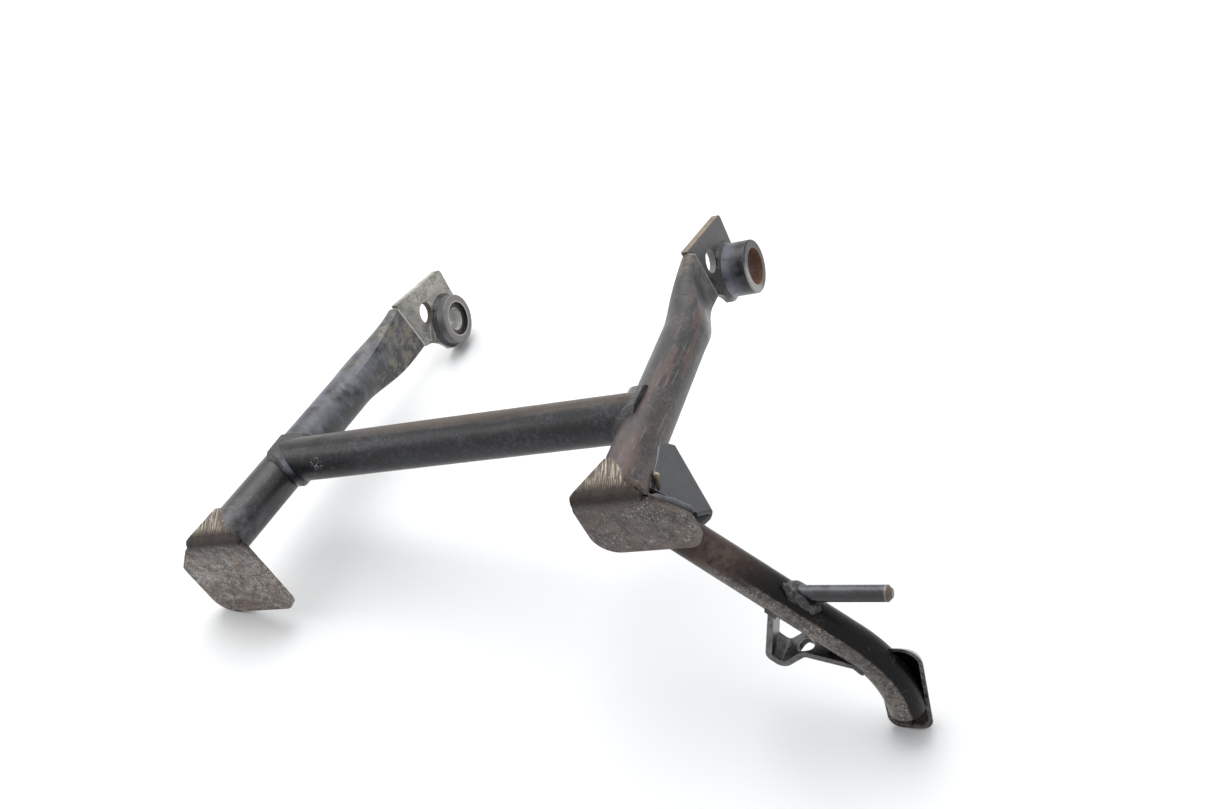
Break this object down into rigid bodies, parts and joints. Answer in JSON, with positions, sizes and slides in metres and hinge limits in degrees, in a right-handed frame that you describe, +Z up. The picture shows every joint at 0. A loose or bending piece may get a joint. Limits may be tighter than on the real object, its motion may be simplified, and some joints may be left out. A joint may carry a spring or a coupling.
{
  "type": "motorcycle centre stand",
  "caption": "Tubular steel centre stand: two legs with soles, a cross tube, pivot plates with bosses, and a curved foot lever with a tread pad, stop rod and spring hook.",
  "frame": {"origin": "centre of the bounding box, on the floor that the stand lies on", "axes": "+Z up from the floor; the stand lies on its rear side, with its pivot end towards +Y and its soles towards -Y; +X towards the foot lever"},
  "size_m": [0.4554, 0.2919, 0.1645],
  "materials": {
    "left_leg_paint": "satin black paint with grey dust, bluish sheen and tan dust on the pressed end",
    "right_leg_paint": "satin black paint worn to reddish brown in lengthwise streaks",
    "cross_tube_paint": "satin black paint, rusty brown along the top, small pits",
    "left_plate_paint": "black paint under olive grey dust",
    "right_plate_paint": "black paint, bare golden steel along the front edge",
    "left_boss_paint": "black paint worn bare on the rim, bright bore",
    "right_boss_paint": "black paint, rusty bore",
    "weld_paint": "painted weld bead with light ripples",
    "left_foot_worn_steel": "steel worn bare, mottled grey brown with scratches",
    "right_foot_worn_steel": "steel worn bare, mottled grey brown with bright flecks",
    "gusset_paint": "satin charcoal paint, lighter along the fold",
    "arm_paint": "satin black paint, worn light grey brown along the underside",
    "pad_paint": "glossy black paint, worn on the rim",
    "rod_paint": "dark paint, bare brown tip",
    "hook_paint": "black paint, edges worn"
  },
  "bodies": {
    "root": {"left_leg_tube": "left_leg_paint", "right_leg_tube": "right_leg_paint", "cross_tube": "cross_tube_paint", "left_pivot_plate": "left_plate_paint", "right_pivot_plate": "right_plate_paint", "left_pivot_boss": "left_boss_paint", "right_pivot_boss": "right_boss_paint", "left_boss_weld": "weld_paint", "right_boss_weld": "weld_paint", "left_plate_weld": "weld_paint", "right_plate_weld": "weld_paint", "left_cross_weld": "weld_paint", "right_cross_weld": "weld_paint", "left_foot_plate": "left_foot_worn_steel", "right_foot_plate": "right_foot_worn_steel", "left_foot_weld": "weld_paint", "right_foot_weld": "weld_paint", "gusset": "gusset_paint", "tread_arm": "arm_paint", "tread_pad": "pad_paint", "pad_weld": "weld_paint", "hook_root_weld": "weld_paint", "hook_tip_weld": "weld_paint", "arm_weld": "weld_paint", "stop_rod": "rod_paint", "stop_rod_weld": "weld_paint", "spring_hook": "hook_paint"}
  },
  "joints": []
}
